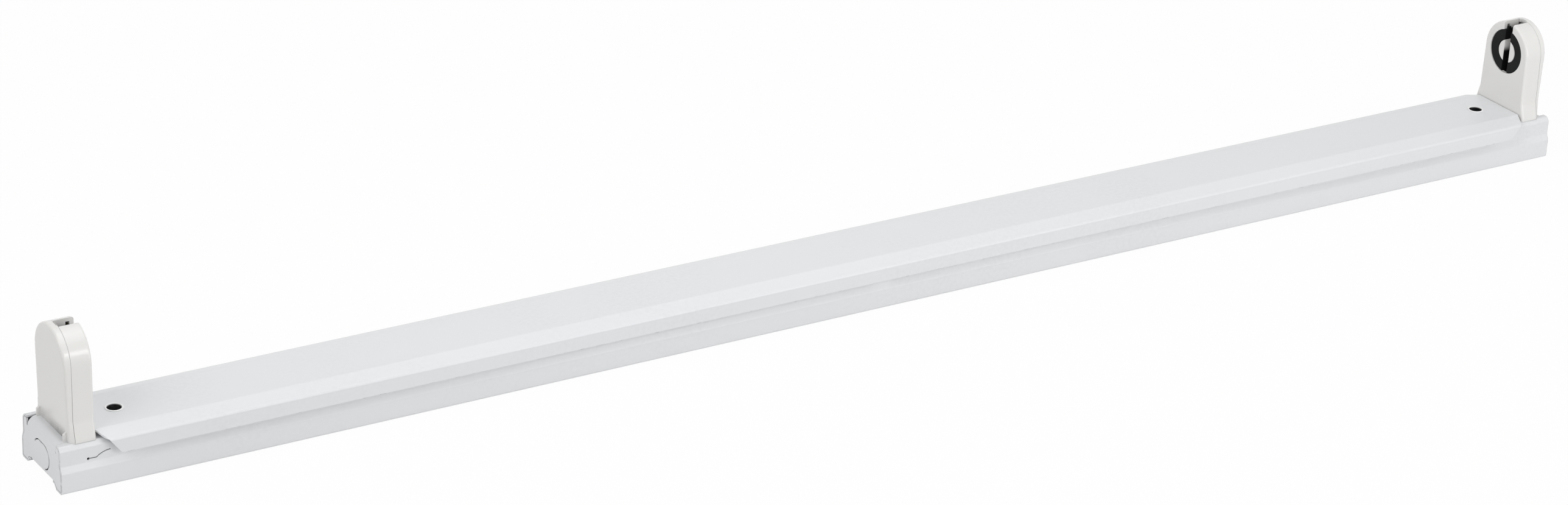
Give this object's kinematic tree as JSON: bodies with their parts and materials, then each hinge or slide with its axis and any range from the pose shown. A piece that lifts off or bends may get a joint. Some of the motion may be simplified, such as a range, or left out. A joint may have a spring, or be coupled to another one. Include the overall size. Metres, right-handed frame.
{
  "type": "led tube batten fitting",
  "caption": "Surface batten for a straight LED tube: folded steel tray and cover, a rotary lampholder at each end, mains terminal inside.",
  "frame": {"origin": "middle of the mounting face, the plane of the two rails that lie on the ceiling", "axes": "+X along the tube, +Y across the tray, +Z out of the ceiling towards the lamp"},
  "size_m": [0.617, 0.034, 0.0522],
  "materials": {
    "painted_steel": "satin",
    "white_plastic": "gloss",
    "black_plastic": "matte",
    "contact_bronze": "bright",
    "block_plastic": "matte",
    "plated_steel": "bright",
    "brown_insulation": "satin",
    "blue_insulation": "satin",
    "green_insulation": "satin",
    "black_rubber": "matte"
  },
  "bodies": {
    "batten": {"base_tray": "painted_steel", "cover": "painted_steel", "left_housing": "white_plastic", "right_housing": "white_plastic", "left_back_cover": "white_plastic", "right_back_cover": "white_plastic", "left_contact_front": "contact_bronze", "left_contact_rear": "contact_bronze", "right_contact_front": "contact_bronze", "right_contact_rear": "contact_bronze", "terminal_block": "block_plastic", "terminal_clamps": "contact_bronze", "terminal_screws": "plated_steel", "block_screws": "plated_steel", "live_wire": "brown_insulation", "neutral_wire": "blue_insulation", "earth_wire": "green_insulation", "earth_screw": "contact_bronze", "earth_washer": "plated_steel", "earth_lug": "plated_steel", "cable_grommet": "black_rubber", "cord_clamp": "block_plastic", "clamp_screws": "plated_steel"},
    "left_turning_ring": {"left_rotor": "black_plastic"},
    "right_turning_ring": {"right_rotor": "black_plastic"}
  },
  "joints": [
    {"name": "left_rotor_turn", "type": "hinge", "parent": "batten", "child": "left_turning_ring", "pos_m": [-0.2999, 0, 0.0404], "axis": [1, 0, 0], "range_deg": [-90, 90]},
    {"name": "right_rotor_turn", "type": "hinge", "parent": "batten", "child": "right_turning_ring", "pos_m": [0.2999, 0, 0.0404], "axis": [1, 0, 0], "range_deg": [-90, 90]}
  ]
}
